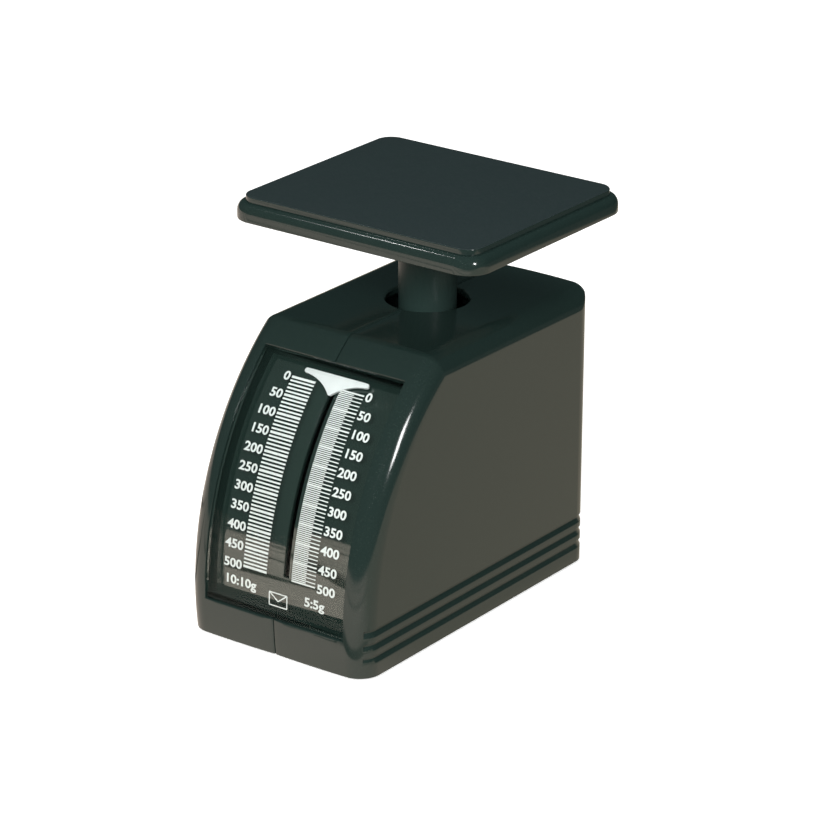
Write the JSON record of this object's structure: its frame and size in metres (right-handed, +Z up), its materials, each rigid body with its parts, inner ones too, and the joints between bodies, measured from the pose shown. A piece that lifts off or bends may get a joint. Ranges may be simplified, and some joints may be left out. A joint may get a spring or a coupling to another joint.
{
  "type": "letter scale",
  "caption": "Compact desk letter scale: square tray on a post, a parallel-lever spring mechanism in a two-shell housing, and a pointer behind a curved graduated window.",
  "frame": {"origin": "on the table under the middle of the whole scale's bounding box", "axes": "+Z up, -Y towards the reader who faces the window, +X to that reader's right"},
  "size_m": [0.1024, 0.138, 0.1412],
  "materials": {
    "gloss_black": "high gloss moulded polystyrene, very dark green-black",
    "tray_black": "satin top with glossy rounded edge",
    "base_black": "matte moulded",
    "rubber_black": "matte",
    "clear_pane": "clear moulded acrylic, polished",
    "pointer_white": "satin white",
    "zinc_sheet": "zinc-plated sheet, satin",
    "lever_cast": "die-cast, satin",
    "bright_steel": "ground and polished rod",
    "clip_steel": "black-phosphated spring clip",
    "screw_steel": "zinc plated",
    "spring_steel": "drawn spring wire",
    "brass": "turned, satin",
    "rivet_aluminium": "satin",
    "pointer_aluminium": "stamped sheet, satin",
    "nylon_white": "natural nylon"
  },
  "bodies": {
    "housing": {"housing_left": "gloss_black", "housing_right": "gloss_black", "base_plate": "base_black", "rubber_feet": "rubber_black", "housing_screws": "screw_steel", "base_screws": "screw_steel", "window_pane": "clear_pane", "dial_tray": "gloss_black", "dial_screws": "screw_steel", "mechanism_frame": "zinc_sheet", "frame_screws": "screw_steel", "lower_shaft": "bright_steel", "upper_shaft": "bright_steel", "shaft_clips": "clip_steel", "shaft_spacers": "nylon_white", "stop_rods": "bright_steel", "stop_sleeves": "rubber_black", "adjuster_bracket": "zinc_sheet", "bracket_rivets": "rivet_aluminium", "tension_spring": "spring_steel"},
    "main_lever": {"main_lever": "lever_cast", "main_lever_bush": "brass", "pointer_arm": "pointer_aluminium", "arm_rivets": "rivet_aluminium", "pointer_head": "pointer_white"},
    "upper_lever": {"upper_lever": "lever_cast", "upper_lever_bush": "brass", "spring_pin": "bright_steel"},
    "post": {"post": "gloss_black", "lower_post_pin": "bright_steel", "upper_post_pin": "bright_steel", "post_pin_clips": "clip_steel", "weighing_tray": "tray_black", "tray_screws": "screw_steel"},
    "zero_wheel": {"zero_wheel": "base_black"},
    "hook_screw": {"hook_screw": "brass"}
  },
  "joints": [
    {"name": "weigh", "type": "hinge", "parent": "housing", "child": "main_lever", "pos_m": [0, 0.041, 0.016], "axis": [1, 0, 0], "range_deg": [0, 35.5], "stiffness_Nm_per_rad": 0.186, "springref_deg": -11.46, "deforming": ["tension_spring"]},
    {"name": "upper_lever_pivot", "type": "hinge", "parent": "housing", "child": "upper_lever", "pos_m": [0, 0.041, 0.068], "axis": [1, 0, 0], "range_deg": [0, 35.5]},
    {"name": "post_pivot", "type": "hinge", "parent": "main_lever", "child": "post", "pos_m": [0, 0.0175, 0.02352], "axis": [1, 0, 0], "range_deg": [-35.5, 0]},
    {"name": "zero_turn", "type": "hinge", "parent": "housing", "child": "zero_wheel", "pos_m": [0, 0.0562, 0.0247], "axis": [0, 0, 1], "range_deg": [-540, 540]},
    {"name": "hook_lift", "type": "slide", "parent": "housing", "child": "hook_screw", "axis": [0, 0, 1], "range_m": [-0.0011, 0.0011]}
  ],
  "couplings": [
    {"joint": "upper_lever_pivot", "follows": "weigh", "ratio": 1},
    {"joint": "post_pivot", "follows": "weigh", "ratio": -1},
    {"joint": "hook_lift", "follows": "zero_turn", "m_per_rad": -0.00011141}
  ]
}
